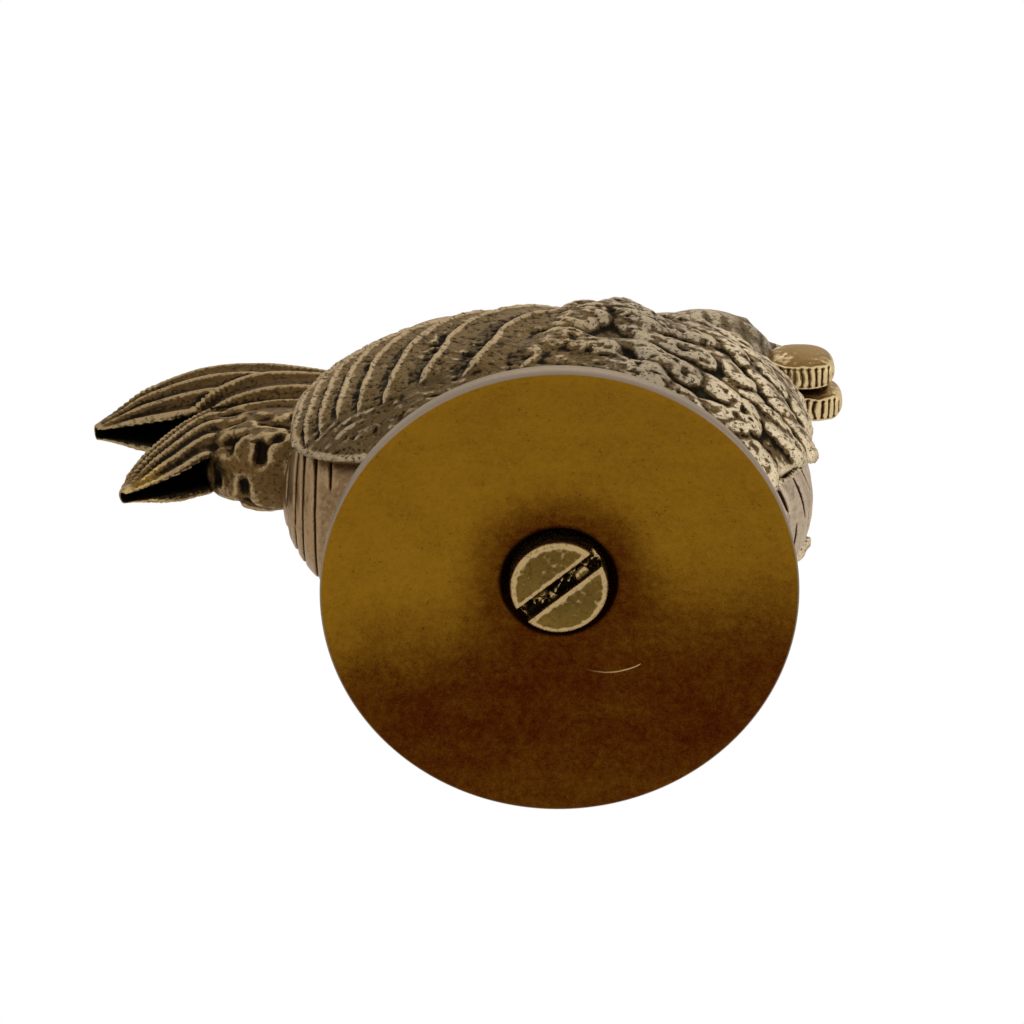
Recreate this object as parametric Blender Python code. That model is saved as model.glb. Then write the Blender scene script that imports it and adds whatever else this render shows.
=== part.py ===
"""Cast brass bird toothpick holder on a turned foot, in metres, +Z up.

The bird looks along +X. Its right side is -Y. Everything is placed from the foot's axis, and an
empty moves the whole bird so that the origin lies under the middle of its bounding box.
"""

import math

import bmesh
import bpy
from mathutils import Vector

MM = 0.001

# Driving sizes of the whole bird, measured from the foot's axis and from the table
tail_reach = 52.5 * MM
wattle_reach = 34.7 * MM
casting_gap = 0.3 * MM
braze_gap = 0.45 * MM
cut_overrun = 5.0 * MM

# Turned foot
foot_radius = 24.0 * MM
foot_rim_thickness = 2.5 * MM
foot_rest_width = 1.0 * MM
foot_dish_depth = 3.9 * MM
foot_slope_power = 1.5
foot_top_flat = 2.4 * MM
hub_radius = 9.3 * MM
hub_height = 7.8 * MM
counterbore_clearance = 0.85 * MM
screw_hole_clearance = 0.3 * MM
foot_steps = 60

# Slotted cheese-head screw
screw_head_radius = 5.0 * MM
screw_head_height = 3.6 * MM
screw_head_lift = 2.4 * MM
screw_head_edge = 0.35 * MM
screw_shank_radius = 3.0 * MM
screw_shank_length = 13.0 * MM
screw_slot_width = 1.7 * MM
screw_slot_depth = 1.8 * MM
screw_slot_turn = math.radians(-39.4)
screw_steps = 32

# Hollow body: half lengths ahead of and behind the foot's axis, half width and heights
body_front = 27.8 * MM
body_back = 29.6 * MM
body_half_width = 15.8 * MM
belly_middle = 29.0 * MM
belly_depth = 23.0 * MM
back_height = 20.0 * MM
breast_height = 29.0 * MM
breast_forward = 1.3 * MM
belly_fullness = 2.5
back_fullness = 2.8
breast_fullness = 2.85
breast_blend = 0.6
body_wall = 2.2 * MM
body_floor = 3.2 * MM
body_turns = 44
body_levels = 26

# Round mouth of the well, in the bird's back
mouth_setback = 10.5 * MM
mouth_radius = 10.0 * MM
mouth_wall = 2.0 * MM
mouth_height = 50.5 * MM
mouth_bead = 0.7 * MM
mouth_root = 38.0 * MM
mouth_steps = 40

# Threaded boss that takes the screw
boss_radius = 6.0 * MM
boss_height = 8.0 * MM
boss_recess = 0.5 * MM
boss_edge = 0.6 * MM
boss_steps = 32

# Wings: plates that follow the body between these angles round it and these heights
wing_thickness = 1.5 * MM
wing_rib_height = 0.8 * MM
wing_front_turn = 71.0
wing_tip_turn = 157.0
wing_top_level = 46.0
wing_bottom_level = -46.0
wing_tip_level = 8.0
wing_tip_half_level = 2.5
wing_ribs_along = 7
wing_ribs_across = 4
wing_rib_end_level = -26.0
wing_rib_fade = 8.0
wing_shoulder_swell = 1.0 * MM
wing_top_round = 3.0
wing_bottom_round = 4.0
wing_seam = 1.2
wing_faces_per_rib = 4
wing_covert_height = 1.1 * MM
wing_covert_half_width = 2.5 * MM
wing_covert_end_turn = 106.0
wing_covert_fade = 9.0

# Covert feathers on the wing's front: the turn and level where each starts, and where it ends
wing_coverts = (((80.0, 26.0), (71.0, 5.0)), ((92.0, 22.0), (80.0, 8.0)), ((104.0, 18.0), (93.0, 6.0)),
                ((100.0, 2.0), (89.5, -8.0)), ((89.0, 5.0), (77.0, -3.5)), ((101.0, -9.0), (81.5, -14.5)),
                ((97.0, 36.0), (85.0, 23.0)), ((84.0, 45.0), (74.0, 29.0)), ((93.0, -17.0), (79.0, -24.0)),
                ((106.0, -17.0), (95.0, -24.0)), ((87.0, -28.0), (75.0, -35.0)))

# Feather cape over the breast and shoulders
cape_thickness = 1.0 * MM
cape_feather_height = 1.1 * MM
cape_feather_half_width = 2.4 * MM
cape_top_level = 72.0
cape_throat_level = 49.0
cape_shoulder_level = -42.0
cape_throat_turn = 3.0
cape_shoulder_turn = 26.0
cape_along = 44
cape_across = 22

# Long feathers that hang from the neck: the levels where their rows start, their reach in level,
# their lean forward, and the turns from one to the next
hackle_row_levels = (68.0, 52.0, 37.0, 23.0)
hackle_drop = 15.0
hackle_lean = 7.0
hackle_turns_apart = 14.0
hackle_last_turn = 68.0

# Short feathers round the breast's edge: the turn and level where each starts, and where it ends
breast_feathers = (((61.0, -5.5), (46.0, -17.0)), ((69.5, -4.5), (63.5, -11.0)), ((55.0, 5.0), (47.0, -1.0)),
                   ((48.0, -3.0), (36.0, -10.0)), ((57.0, -22.0), (44.0, -21.5)),
                   ((45.5, -27.5), (31.0, -32.5)), ((42.5, -13.0), (28.5, -15.0)),
                   ((68.0, 7.0), (58.0, -2.0)), ((69.0, -17.0), (60.0, -26.0)),
                   ((62.0, -31.0), (50.0, -35.0)), ((42.0, 8.0), (32.0, 0.0)), ((30.0, 0.0), (21.0, -5.0)),
                   ((30.0, 14.0), (20.0, 5.0)))
feather_root_share = 0.45

# Neck and head in one flowing form: each ring's height, place ahead, half length and half width
# are shares of the four sizes before it
neck_bottom = 42.0 * MM
neck_rise = 30.5 * MM
head_setback = 17.2 * MM
neck_half_length = 14.0 * MM
neck_half_width = 11.3 * MM
neck_ring_shares = ((0.00, 0.74, 0.00, 0.00), (0.05, 0.80, 0.96, 0.96), (0.20, 0.86, 0.95, 0.94),
                    (0.36, 0.90, 0.86, 0.83), (0.52, 0.95, 0.71, 0.69), (0.66, 1.00, 0.66, 0.65),
                    (0.80, 1.02, 0.66, 0.66), (0.92, 1.02, 0.53, 0.53), (0.985, 1.01, 0.27, 0.27),
                    (1.00, 1.00, 0.00, 0.00))
beak_length = 9.0 * MM
beak_root_radius = 3.3 * MM
beak_tip_radius = 0.5 * MM
beak_tip_setback = 0.9 * MM
beak_level = 67.2 * MM
beak_dip = math.radians(7.0)
eye_radius = 1.5 * MM
eye_ahead = 5.1 * MM
eye_level = 67.0 * MM
eye_out = 4.9 * MM
wattle_half_length = 4.0 * MM
wattle_half_width = 2.1 * MM
wattle_half_height = 4.3 * MM
wattle_spread = 2.0 * MM
wattle_level = 61.6 * MM
wattle_stagger = 1.1 * MM
wattle_fullness = 2.7
comb_centre_ahead = 0.5 * MM
comb_centre_level = 63.2 * MM
comb_thickness = 2.2 * MM
comb_root_radius = 6.5 * MM
comb_valley_radius = 11.2 * MM
comb_height = 3.9 * MM
comb_front_angle = math.radians(28.0)
comb_back_angle = math.radians(128.0)
comb_points = 5
comb_point_steps = 5
head_turns = 24
head_levels = 18
small_turns = 14
small_levels = 9

# Hollow tail: two curved plumes, each open below, joined at a solid root. Their crests and hems
# are shares of the tail's length and height, from the root to the tip
tail_root_reach = 24.0 * MM
tail_bottom = 25.8 * MM
tail_top = 62.0 * MM
tail_wall = 1.3 * MM
tail_wall_share = 0.4
tail_round = 0.45
tail_tuck = 0.6
tail_ridge_height = 0.7 * MM
tail_ridge_count = 5
upper_plume_width = 7.2 * MM
upper_crest_shares = ((0.00, 0.90), (0.28, 0.985), (0.55, 0.985), (0.79, 0.86), (1.00, 0.56))
upper_hem_shares = ((0.00, 0.39), (0.28, 0.49), (0.52, 0.53), (0.74, 0.53), (0.98, 0.525))
upper_width_shares = (1.05, 1.03, 0.92, 0.62, 0.20)
lower_plume_width = 6.0 * MM
lower_crest_shares = ((0.00, 0.67), (0.31, 0.70), (0.55, 0.586), (0.724, 0.337), (0.82, 0.033))
lower_hem_shares = ((0.00, 0.15), (0.24, 0.19), (0.48, 0.215), (0.62, 0.10), (0.79, 0.00))
lower_width_shares = (1.30, 1.10, 0.88, 0.60, 0.20)
root_plug_half_length = 9.0 * MM
root_plug_half_width = 3.9 * MM
root_plug_half_height = 7.5 * MM
root_plug_reach = 29.0 * MM
root_plug_level = 39.5 * MM
tail_along = 18
plug_turns = 16
plug_levels = 10


def clear_scene():
    """Remove whatever the file opened with."""
    for old in list(bpy.data.objects):
        bpy.data.objects.remove(old, do_unlink=True)


def smoothstep(low, high, value):
    """Rise smoothly from 0 at low to 1 at high."""
    share = min(max((value - low) / (high - low), 0.0), 1.0)
    return share * share * (3.0 - 2.0 * share)


def brass(name, colour, roughness):
    """Principled brass of one colour and roughness."""
    material = bpy.data.materials.new(name)
    material.use_nodes = True
    shader = material.node_tree.nodes["Principled BSDF"]
    shader.inputs["Base Color"].default_value = (*colour, 1.0)
    shader.inputs["Roughness"].default_value = roughness
    shader.inputs["Metallic"].default_value = 1.0
    material.diffuse_color = (*colour, 1.0)
    return material


def finished_object(name, mesh_builder, material=None):
    """Turn a bmesh into a named object under the bird's empty, with its faces pointing out."""
    bmesh.ops.recalc_face_normals(mesh_builder, faces=mesh_builder.faces)
    if mesh_builder.calc_volume(signed=True) < 0:
        bmesh.ops.reverse_faces(mesh_builder, faces=mesh_builder.faces)
    mesh = bpy.data.meshes.new(name)
    mesh_builder.to_mesh(mesh)
    mesh_builder.free()
    mesh.shade_smooth()
    mesh.set_sharp_from_angle(angle=math.radians(35.0))
    made = bpy.data.objects.new(name, mesh)
    bpy.context.collection.objects.link(made)
    made.parent = bird
    if material:
        mesh.materials.append(material)
    else:
        made.hide_render = True
        made.display_type = "WIRE"
    return made


def combine(target, other, operation):
    """Cut another shape out of a piece, or join it on."""
    step = target.modifiers.new(operation.lower() + " " + other.name, "BOOLEAN")
    step.object = other
    step.operation = operation
    step.solver = "EXACT"


def turned(name, profile, steps, material=None):
    """Spin a closed outline of (radius, height) points round the foot's axis."""
    shape = bmesh.new()
    corners = [shape.verts.new((radius, 0.0, height)) for radius, height in profile]
    ring = [shape.edges.new(pair) for pair in zip(corners, corners[1:])]
    if profile[0] != profile[-1] and profile[0][0] > 0.0:
        ring.append(shape.edges.new((corners[-1], corners[0])))
    bmesh.ops.spin(shape, geom=corners + ring, cent=(0, 0, 0), axis=(0, 0, 1), angle=math.tau,
                   steps=steps, use_merge=True)
    bmesh.ops.remove_doubles(shape, verts=shape.verts, dist=casting_gap / 100)
    return finished_object(name, shape, material)


def blob(name, turns, levels, place, material=None, floor=None):
    """Ball whose points are moved to place(direction), with one flat face at a floor level."""
    shape = bmesh.new()
    bmesh.ops.create_uvsphere(shape, u_segments=turns, v_segments=levels, radius=1.0)
    for corner in shape.verts:
        corner.co = place(corner.co.normalized())
    if floor is not None:
        flat = [face for face in shape.faces
                if all(abs(corner.co.z - floor) < casting_gap / 100 for corner in face.verts)]
        bmesh.ops.dissolve_faces(shape, faces=flat, use_verts=True)
    return finished_object(name, shape, material)


def bent_plate(name, along, across, place, material=None):
    """Flat plate of unit size whose points are moved to place(u, v, outer)."""
    shape = bmesh.new()
    bmesh.ops.create_grid(shape, x_segments=along, y_segments=across, size=0.5)
    lifted = bmesh.ops.extrude_face_region(shape, geom=list(shape.faces), use_keep_orig=True)
    top = [item for item in lifted["geom"] if isinstance(item, bmesh.types.BMVert)]
    bmesh.ops.translate(shape, verts=top, vec=(0.0, 0.0, 1.0))
    for corner in shape.verts:
        u, v, outer = corner.co.x + 0.5, corner.co.y + 0.5, corner.co.z
        corner.co = place(u, v, outer)
    bmesh.ops.triangulate(shape, faces=shape.faces, quad_method="ALTERNATE")
    return finished_object(name, shape, material)


def ellipsoid(centre, front, back, half_width, rise, sink, fullness=2.0):
    """Place function of an egg with its own half length each way."""
    def place(direction):
        parts = []
        reaches = (front if direction.x > 0 else back, half_width, rise if direction.z > 0 else sink)
        for share, reach in zip(direction, reaches):
            parts.append(math.copysign(abs(share) ** (2.0 / fullness), share) * reach)
        return Vector(centre) + Vector(parts)
    return place


def body_point(direction, growth=0.0, floor=0.0):
    """Point of the body's surface in a direction from its middle, moved out by growth.

    Below the floor level the surface is flat.
    """
    ahead = smoothstep(0.0, breast_blend, direction.x)
    if direction.z > 0:
        height = back_height + (breast_height - back_height) * ahead + growth
        fullness = back_fullness + (breast_fullness - back_fullness) * ahead
    else:
        height = belly_depth + growth
        fullness = belly_fullness
    length = (body_front if direction.x > 0 else body_back) + growth
    flat = math.hypot(direction.x, direction.y)
    spread = flat ** (2.0 / fullness - 1.0) if flat > 1e-6 else 0.0
    forward = breast_forward * max(direction.x, 0.0) * smoothstep(0.0, breast_blend, direction.z)
    lift = math.copysign(abs(direction.z) ** (2.0 / fullness), direction.z)
    return Vector((length * direction.x * spread + forward,
                   (body_half_width + growth) * direction.y * spread,
                   max(belly_middle + height * lift, floor)))


def on_body(turn, level, growth):
    """Point over the body at a turn in degrees from the front towards the right side, and a level."""
    turn, level = math.radians(turn), math.radians(level)
    direction = Vector((math.cos(level) * math.cos(turn), -math.cos(level) * math.sin(turn),
                        math.sin(level)))
    return body_point(direction, growth)


def foot_disc():
    """Turned foot: flat rest ring, dished underside, counterbore, hub under the belly."""
    bore = screw_head_radius + counterbore_clearance
    hole = screw_shank_radius + screw_hole_clearance
    seat = screw_head_lift + screw_head_height + casting_gap
    rest_inside = foot_radius - foot_rest_width
    profile = [(foot_radius, 0.0), (foot_radius, foot_rim_thickness),
               (foot_radius - foot_top_flat, foot_rim_thickness)]
    slope = foot_radius - foot_top_flat - hub_radius
    for step in range(1, 6):
        share = step / 6
        height = foot_rim_thickness + (hub_height - foot_rim_thickness) * share ** foot_slope_power
        profile.append((foot_radius - foot_top_flat - slope * share, height))
    profile += [(hub_radius, hub_height - casting_gap), (hub_radius - casting_gap, hub_height),
                (hole, hub_height), (hole, seat), (bore, seat), (bore, foot_dish_depth)]
    for step in range(1, 5):
        share = step / 5
        height = foot_dish_depth * (1.0 - share ** 2)
        profile.append((bore + (rest_inside - bore) * share, height))
    profile.append((rest_inside, 0.0))
    return turned("foot_disc", profile, foot_steps, brass("turned foot brass", (0.42, 0.26, 0.07), 0.42))


def foot_screw():
    """Cheese-head screw, head down in the counterbore, with a slot across its face."""
    face = screw_head_lift
    under = face + screw_head_height
    tip = under + screw_shank_length
    profile = [(0.0, tip), (screw_shank_radius - screw_head_edge, tip),
               (screw_shank_radius, tip - screw_head_edge), (screw_shank_radius, under),
               (screw_head_radius, under), (screw_head_radius, face + screw_head_edge),
               (screw_head_radius - screw_head_edge, face), (0.0, face)]
    screw = turned("foot_screw", profile, screw_steps, brass("screw brass", (0.46, 0.33, 0.11), 0.36))
    shape = bmesh.new()
    bmesh.ops.create_cube(shape, size=1.0)
    bmesh.ops.scale(shape, verts=shape.verts,
                    vec=(2 * screw_head_radius + cut_overrun, screw_slot_width, 2 * screw_slot_depth))
    slot = finished_object("slot cutter", shape)
    slot.location.z = face
    slot.rotation_euler.z = screw_slot_turn
    combine(screw, slot, "DIFFERENCE")
    return screw


def body_cutter():
    """The body's outside, larger by the gap that neighbours keep from it."""
    return blob("body clearance", body_turns, body_levels, lambda way: body_point(way, casting_gap))


def mouth_cylinder(name, radius, low, high, bead=0.0):
    """Upright cylinder on the mouth's axis, with a rounded bead round its top where one is given."""
    profile = [(0.0, low), (radius, low)]
    if bead:
        profile += [(radius, high - 3 * bead), (radius + bead / 2, high - 2.5 * bead),
                    (radius + bead, high - 1.5 * bead), (radius + bead / 2, high - bead / 3)]
    profile += [(radius, high), (0.0, high)]
    made = turned(name, profile, mouth_steps)
    made.location.x = -mouth_setback
    return made


def body_vessel():
    """Hollow body with a collared round mouth, a flat seat and a hole for the screw."""
    seat_level = hub_height + casting_gap
    floor_level = seat_level + body_floor
    vessel = blob("body_vessel", body_turns, body_levels, lambda way: body_point(way, 0.0, seat_level),
                  brass("body brass", (0.50, 0.38, 0.20), 0.34), seat_level)
    collar_radius = mouth_radius + mouth_wall
    collar = mouth_cylinder("mouth collar", collar_radius, mouth_root, mouth_height, mouth_bead)
    combine(vessel, collar, "UNION")
    hollow = blob("body hollow", body_turns - 12, body_levels - 8,
                  lambda way: body_point(way, -body_wall, floor_level), floor=floor_level)
    combine(vessel, hollow, "DIFFERENCE")
    bore = mouth_cylinder("mouth bore", mouth_radius, mouth_root - 2 * body_wall,
                          mouth_height + cut_overrun)
    combine(vessel, bore, "DIFFERENCE")
    recess = boss_radius + casting_gap
    recess_level = floor_level - boss_recess
    hole = screw_shank_radius + screw_hole_clearance
    drill = turned("floor drill", [(0.0, 0.0), (hole, 0.0), (hole, recess_level),
                                   (recess, recess_level), (recess, floor_level + cut_overrun),
                                   (0.0, floor_level + cut_overrun)], boss_steps)
    combine(vessel, drill, "DIFFERENCE")
    return vessel


def screw_boss():
    """Threaded slug in the recess of the body's floor."""
    low = hub_height + casting_gap + body_floor - boss_recess + casting_gap
    high = low + boss_height
    hole = screw_shank_radius + screw_hole_clearance
    profile = [(hole, low), (boss_radius, low), (boss_radius, high - boss_edge),
               (boss_radius - boss_edge, high), (hole, high), (hole, low)]
    return turned("screw_boss", profile[:-1], boss_steps, brass("boss brass", (0.45, 0.30, 0.12), 0.5))


def feather_axes(feathers):
    """Start and end on the body of each feather that is given by its turns and levels."""
    return [[on_body(turn, level, 0.0) for turn, level in ends] for ends in feathers]


def feather_lump(turn, level, axes, half_width):
    """Height share of overlapping rounded feathers at a turn and level, highest at their ends."""
    spot = on_body(turn, level, 0.0)
    lump = 0.0
    for start, end in axes:
        axis = end - start
        share = min(max((spot - start).dot(axis) / axis.dot(axis), 0.0), 1.0)
        miss = (spot - start - axis * share).length / half_width
        if miss < 1.0:
            swell = feather_root_share + (1.0 - feather_root_share) * share
            lump = max(lump, swell * (1.0 - miss ** 3) ** 0.5)
    return lump


def wing_place(side, ease):
    """Place function of a wing plate; ease widens it all round to make a cutter."""
    turn_ease = math.degrees(ease / body_back)
    axes = feather_axes(wing_coverts)

    def place(u, v, outer):
        front = wing_front_turn - turn_ease
        turn = front + (wing_tip_turn + turn_ease - front) * u
        top = wing_tip_level + wing_tip_half_level + turn_ease
        top += (wing_top_level - wing_tip_level) * (1.0 - u ** wing_top_round) ** 0.5
        bottom = wing_tip_level - wing_tip_half_level - turn_ease
        bottom -= (wing_tip_level - wing_bottom_level) * (1.0 - u ** wing_bottom_round) ** 0.5
        level = bottom + (top - bottom) * v
        rib = abs(math.sin(math.pi * (wing_ribs_along * u + wing_ribs_across * v)))
        rib *= smoothstep(wing_rib_end_level - wing_rib_fade, wing_rib_end_level, level)
        cover = 1.0 - smoothstep(wing_covert_end_turn - wing_covert_fade, wing_covert_end_turn, turn)
        covert = feather_lump(turn, level, axes, wing_covert_half_width)
        relief = wing_rib_height * rib * (1.0 - cover) + wing_covert_height * covert * cover
        shoulder = smoothstep(0.5, 0.9, v) * (1.0 - smoothstep(0.05, 0.25, u))
        edge = smoothstep(0.0, 0.12, min(u, 1 - u, v, 1 - v) + 0.04)
        inner_growth = braze_gap - 3 * ease
        outer_growth = braze_gap + wing_thickness * (0.4 + 0.6 * edge) + relief * edge
        outer_growth += wing_shoulder_swell * shoulder
        growth = inner_growth + (outer_growth + ease - inner_growth) * outer
        spot = on_body(turn, level, growth)
        spot.y *= side
        return spot
    return place


def wing(name, side, collar):
    """Wing plate with raised feather ribs, trimmed where it meets the mouth's collar."""
    made = bent_plate(name, wing_faces_per_rib * wing_ribs_along, wing_faces_per_rib * wing_ribs_across,
                      wing_place(side, 0.0),
                      brass(name + " brass", (0.44, 0.33, 0.17), 0.38))
    combine(made, collar, "DIFFERENCE")
    return made


def cape_feathers():
    """Turns and levels of the cape's feathers on one side: rows from the neck, then the breast's."""
    feathers = []
    for row, level in enumerate(hackle_row_levels):
        turn = hackle_turns_apart * (0.5 + 0.5 * (row % 2))
        while turn < hackle_last_turn:
            feathers.append(((turn, level), (turn - hackle_lean, level - hackle_drop)))
            turn += hackle_turns_apart
    return feathers + list(breast_feathers)


def cape_place():
    """Place function of the cape: from shoulder to shoulder, from its ragged hem to the neck."""
    axes = feather_axes(cape_feathers())

    def place(u, v, outer):
        half_turn = wing_front_turn - wing_seam
        turn = half_turn * (2.0 * u - 1.0)
        drop = smoothstep(cape_throat_turn, cape_shoulder_turn, abs(turn))
        hem = cape_throat_level + (cape_shoulder_level - cape_throat_level) * drop
        level = hem + (cape_top_level - hem) * v
        lump = feather_lump(abs(turn), level, axes, cape_feather_half_width)
        edge = smoothstep(0.0, 0.12, min(v + 0.05, u + 0.04, 1.04 - u))
        relief = cape_thickness * (0.7 + 0.3 * edge) + cape_feather_height * lump * edge
        return on_body(turn, level, braze_gap + relief * outer)
    return place


def along_points(points, share):
    """Value at a share of the way along evenly spaced points, on a smooth curve through them."""
    place = share * (len(points) - 1)
    index = min(int(place), len(points) - 2)
    local = place - index
    before, after = points[max(index - 1, 0)], points[min(index + 2, len(points) - 1)]
    start, end = points[index], points[index + 1]
    return 0.5 * ((2 * start) + (end - before) * local
                  + (2 * before - 5 * start + 4 * end - after) * local ** 2
                  + (3 * start - before - 3 * end + after) * local ** 3)


def neck_point(direction):
    """Point of the neck and head: the direction's level picks the ring, its turn a point on it."""
    share = math.asin(max(min(direction.z, 1.0), -1.0)) / math.pi + 0.5
    height, ahead, length, width = along_points([Vector(ring) for ring in neck_ring_shares], share)
    flat = max(math.hypot(direction.x, direction.y), 1e-6)
    middle = (wattle_reach - head_setback) * ahead
    return Vector((middle + neck_half_length * max(length, 0.0) * direction.x / flat,
                   neck_half_width * max(width, 0.0) * direction.y / flat,
                   neck_bottom + neck_rise * height))


def comb_plate():
    """Upright plate with rounded points that follows the crown of the head."""
    steps = comb_points * comb_point_steps
    rim = []
    for step in range(steps + 1):
        share = step / steps
        angle = comb_front_angle + (comb_back_angle - comb_front_angle) * share
        swell = math.sin(math.pi * (0.15 + 0.7 * share))
        radius = comb_valley_radius * (0.8 + 0.2 * swell)
        radius += comb_height * swell * abs(math.sin(math.pi * comb_points * share)) ** 0.7
        rim.append((angle, radius))
    rim += [(comb_back_angle, comb_root_radius), (comb_front_angle, comb_root_radius)]
    shape = bmesh.new()
    middle = wattle_reach - head_setback + comb_centre_ahead
    corners = [shape.verts.new((middle + radius * math.cos(angle), -comb_thickness / 2,
                                comb_centre_level + radius * math.sin(angle)))
               for angle, radius in rim]
    face = shape.faces.new(corners)
    wall = bmesh.ops.extrude_face_region(shape, geom=[face], use_keep_orig=True)
    moved = [item for item in wall["geom"] if isinstance(item, bmesh.types.BMVert)]
    bmesh.ops.translate(shape, verts=moved, vec=(0.0, comb_thickness, 0.0))
    return finished_object("comb", shape)


def beak():
    """Short cone that looks ahead and a little down."""
    shape = bmesh.new()
    bmesh.ops.create_cone(shape, cap_ends=True, segments=small_turns, radius1=beak_root_radius,
                          radius2=beak_tip_radius, depth=beak_length)
    made = finished_object("beak", shape)
    made.rotation_euler.y = math.pi / 2 + beak_dip
    made.location = (wattle_reach - beak_tip_setback - beak_length / 2, 0.0, beak_level)
    return made


def head_and_cape(body_gap):
    """One casting: feather cape, neck, head, beak, comb, eyes and a pair of wattles."""
    cast = bent_plate("head_and_cape", cape_along, cape_across, cape_place(),
                      brass("cape brass", (0.52, 0.40, 0.22), 0.40))
    neck = blob("neck", head_turns, head_levels, neck_point)
    combine(neck, body_gap, "DIFFERENCE")
    combine(cast, neck, "UNION")
    combine(cast, beak(), "UNION")
    combine(cast, comb_plate(), "UNION")
    for side in (-1, 1):
        back = wattle_stagger if side < 0 else 0.0
        centre = (wattle_reach - wattle_half_length - back, side * wattle_spread, wattle_level)
        lobe = blob("wattle", small_turns, small_levels,
                    ellipsoid(centre, wattle_half_length, wattle_half_length, wattle_half_width,
                              wattle_half_height, wattle_half_height, wattle_fullness))
        combine(cast, lobe, "UNION")
        centre = (wattle_reach - head_setback + eye_ahead, side * eye_out, eye_level)
        eye = blob("eye", small_turns, small_levels,
                   ellipsoid(centre, eye_radius, eye_radius, eye_radius, eye_radius, eye_radius))
        combine(cast, eye, "UNION")
    return cast


def plume(name, crest_shares, hem_shares, width, width_shares, material=None):
    """Curved gutter, open below, whose two walls hang from its crest down to its hem."""
    size = Vector((-(tail_reach - tail_root_reach), tail_top - tail_bottom))
    start = Vector((-tail_root_reach, tail_bottom))
    crest = [start + size * Vector(point) for point in crest_shares]
    hem = [start + size * Vector(point) for point in hem_shares]

    def place(u, v, outer):
        top, low = along_points(crest, v), along_points(hem, v)
        half = along_points(width_shares, v) * width
        wall = min(tail_wall, half * tail_wall_share, (top - low).length * tail_wall_share)
        side, drop = 2.0 * u - 1.0, abs(2.0 * u - 1.0)
        reach = (half if outer else half - wall) * drop ** tail_round * (1.0 - tail_tuck * drop ** 2)
        if outer:
            ridge = math.cos(math.pi * tail_ridge_count * drop) ** 2 * min(half / width, 1.0)
            reach += tail_ridge_height * ridge
        else:
            drop += (1.0 - drop) * wall / (top - low).length
        spot = top.lerp(low, drop)
        return Vector((spot.x, math.copysign(reach, side), spot.y))

    return bent_plate(name, 4 * tail_ridge_count, tail_along, place, material)


def tail(body_gap, collar_gap, wing_gaps):
    """Two hollow plumes on a solid root, fitted to the rump."""
    upper = plume("tail", upper_crest_shares, upper_hem_shares, upper_plume_width,
                  upper_width_shares, brass("tail brass", (0.45, 0.32, 0.14), 0.38))
    lower = plume("lower plume", lower_crest_shares, lower_hem_shares, lower_plume_width,
                  lower_width_shares)
    plug = blob("root plug", plug_turns, plug_levels,
                ellipsoid((-root_plug_reach, 0.0, root_plug_level), root_plug_half_length,
                          root_plug_half_length, root_plug_half_width, root_plug_half_height,
                          root_plug_half_height))
    combine(upper, lower, "UNION")
    combine(upper, plug, "UNION")
    for gap in (body_gap, collar_gap, *wing_gaps):
        combine(upper, gap, "DIFFERENCE")
    return upper


clear_scene()
bird = bpy.data.objects.new("foot axis", None)
bpy.context.collection.objects.link(bird)
bird.location.x = (tail_reach - wattle_reach) / 2

foot_disc()
foot_screw()
body_vessel()
screw_boss()
body_gap = body_cutter()
collar_gap = mouth_cylinder("collar clearance", mouth_radius + mouth_wall + mouth_bead + casting_gap,
                            mouth_root - cut_overrun, mouth_height + cut_overrun)
wing("wing_right", 1.0, collar_gap)
wing("wing_left", -1.0, collar_gap)
wing_gaps = [bent_plate("wing clearance", wing_faces_per_rib * wing_ribs_along,
                        wing_faces_per_rib * wing_ribs_across, wing_place(side, casting_gap))
             for side in (1.0, -1.0)]
head_and_cape(body_gap)
tail(body_gap, collar_gap, wing_gaps)
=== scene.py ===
"""Looks of a cast brass bird toothpick holder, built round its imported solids.

Everything below is in millimetres from the foot's axis and the table until a piece is finished,
when it goes to metres in the solids' frame. The bird looks along +X and its right side is -Y.
"""

import math

import bmesh
import bpy
import numpy as np
from mathutils import Matrix, Vector


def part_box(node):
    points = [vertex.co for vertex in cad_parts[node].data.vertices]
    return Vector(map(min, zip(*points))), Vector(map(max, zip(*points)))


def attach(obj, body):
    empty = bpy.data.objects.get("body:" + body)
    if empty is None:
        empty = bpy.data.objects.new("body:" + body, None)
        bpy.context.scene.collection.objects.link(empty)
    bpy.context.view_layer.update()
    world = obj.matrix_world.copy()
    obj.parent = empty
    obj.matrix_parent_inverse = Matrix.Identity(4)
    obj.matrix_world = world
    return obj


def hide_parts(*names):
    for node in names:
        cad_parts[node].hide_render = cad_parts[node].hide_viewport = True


MM = 0.001

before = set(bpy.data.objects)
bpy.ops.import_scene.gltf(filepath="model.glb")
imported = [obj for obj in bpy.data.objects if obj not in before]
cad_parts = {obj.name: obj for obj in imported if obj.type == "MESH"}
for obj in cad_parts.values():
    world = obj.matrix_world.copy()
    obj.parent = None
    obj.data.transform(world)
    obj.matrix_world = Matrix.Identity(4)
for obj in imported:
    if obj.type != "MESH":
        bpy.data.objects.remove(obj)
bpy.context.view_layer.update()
foot_low, foot_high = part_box("foot_disc")
foot_axis = (foot_low.x + foot_high.x) / 2

# How fine the cast surfaces are made, in millimetres between neighbouring points
QUICK_FINE = 0.42
FINE = 0.22
COARSE = 0.34


# The bird's egg shape, the same as in the solids

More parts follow.
